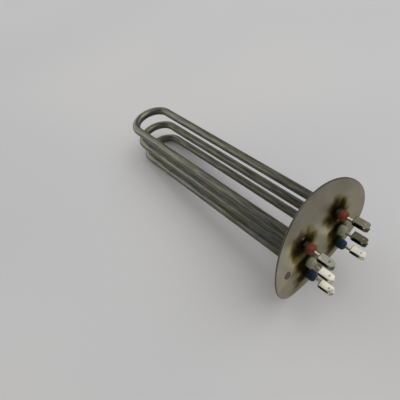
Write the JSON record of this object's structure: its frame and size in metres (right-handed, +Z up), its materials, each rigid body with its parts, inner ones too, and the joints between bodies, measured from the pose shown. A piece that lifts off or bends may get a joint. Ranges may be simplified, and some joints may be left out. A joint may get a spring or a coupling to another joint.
{
  "type": "sheathed heating element",
  "caption": "Immersion heating element: stacked hairpin sheath tubes in a curved round flange, with coloured end seals and double spade terminals.",
  "frame": {"origin": "centre of the flange's tube-side face", "axes": "+X along the tubes into the tank, +Z up the stack of hairpins, towards the red-sealed one, +Y to the left column of tube ends; the terminals point towards -X"},
  "size_m": [0.3007, 0.119, 0.119],
  "materials": {
    "flange_steel": "rolled stainless steel with heat tint round the tube ends",
    "sheath_steel": "dull annealed alloy tube, olive grey",
    "braze": "dull nickel braze",
    "filling": "pressed white magnesium oxide powder",
    "winding": "resistance wire",
    "seal_red": "satin moulded seal, orange red",
    "seal_white": "satin milky seal, slightly translucent",
    "seal_blue": "satin moulded seal, dark blue",
    "pin_steel": "nickel-plated steel",
    "tab_metal": "nickel-plated strip"
  },
  "bodies": {
    "root": {"flange": "flange_steel", "braze_rings": "braze", "sheath_top": "sheath_steel", "filling_top": "filling", "winding_top": "winding", "sheath_middle": "sheath_steel", "filling_middle": "filling", "winding_middle": "winding", "sheath_bottom": "sheath_steel", "filling_bottom": "filling", "winding_bottom": "winding", "seal_top_left": "seal_red", "pin_top_left": "pin_steel", "tab_top_left": "tab_metal", "seal_top_right": "seal_red", "pin_top_right": "pin_steel", "tab_top_right": "tab_metal", "seal_middle_left": "seal_white", "pin_middle_left": "pin_steel", "tab_middle_left": "tab_metal", "seal_middle_right": "seal_white", "pin_middle_right": "pin_steel", "tab_middle_right": "tab_metal", "seal_bottom_left": "seal_blue", "pin_bottom_left": "pin_steel", "tab_bottom_left": "tab_metal", "seal_bottom_right": "seal_blue", "pin_bottom_right": "pin_steel", "tab_bottom_right": "tab_metal"}
  },
  "joints": []
}
